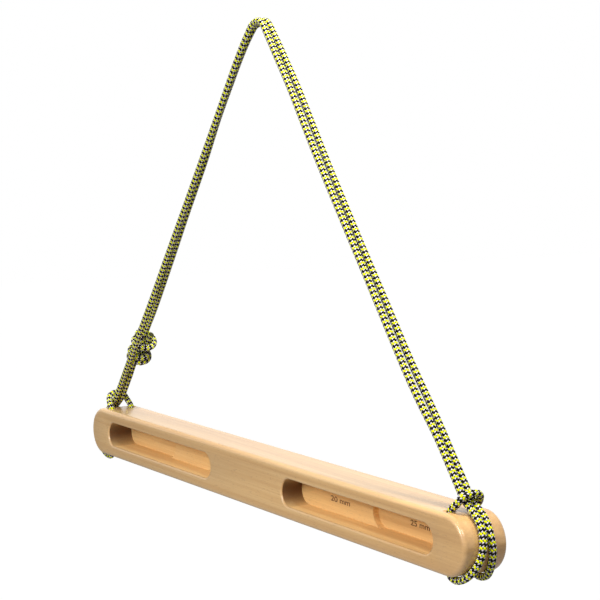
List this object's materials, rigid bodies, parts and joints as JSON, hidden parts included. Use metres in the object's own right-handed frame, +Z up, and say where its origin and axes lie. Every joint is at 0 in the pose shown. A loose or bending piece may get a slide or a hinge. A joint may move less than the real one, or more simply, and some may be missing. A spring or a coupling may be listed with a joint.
{
  "type": "portable hangboard",
  "caption": "Portable wooden climbing hangboard: a round-ended bar with stepped finger slots, hung in a knotted, doubled cord sling.",
  "frame": {"origin": "the point where the sling rests on its hook, on the sling's centre plane", "axes": "+X along the bar towards its right end, -Y out of the finger slots towards the user, +Z up"},
  "size_m": [0.6114, 0.0395, 0.4064],
  "materials": {
    "beech": "sanded, unvarnished",
    "braided_cord": "braided"
  },
  "bodies": {
    "hang_loop": {"hook_bend_front": "braided_cord", "hook_bend_back": "braided_cord"},
    "sling": {"leg_right_front": "braided_cord", "leg_right_back": "braided_cord", "leg_left_front": "braided_cord", "leg_left_back_upper": "braided_cord", "leg_left_back_lower": "braided_cord", "knot_upper_turns": "braided_cord", "knot_lower_turns": "braided_cord"},
    "bar": {"bar": "beech", "hitch_right_lead_front": "braided_cord", "hitch_right_lead_back": "braided_cord", "hitch_right_wrap_front": "braided_cord", "hitch_right_wrap_back": "braided_cord", "hitch_right_bight": "braided_cord", "hitch_left_lead_front": "braided_cord", "hitch_left_lead_back": "braided_cord", "hitch_left_wrap_front": "braided_cord", "hitch_left_wrap_back": "braided_cord", "hitch_left_bight": "braided_cord"}
  },
  "joints": [
    {"name": "sling_swing", "type": "hinge", "parent": "hang_loop", "child": "sling", "pos_m": [0, 0, -0.0018], "axis": [1, 0, 0], "range_deg": [-70, 70], "deforming": ["hook_bend_front", "hook_bend_back"]},
    {"name": "bar_roll", "type": "hinge", "parent": "sling", "child": "bar", "pos_m": [0, 0, -0.3286], "axis": [1, 0, 0], "range_deg": [-60, 60], "deforming": ["hitch_right_lead_front", "hitch_right_lead_back", "hitch_left_lead_front", "hitch_left_lead_back"]}
  ]
}
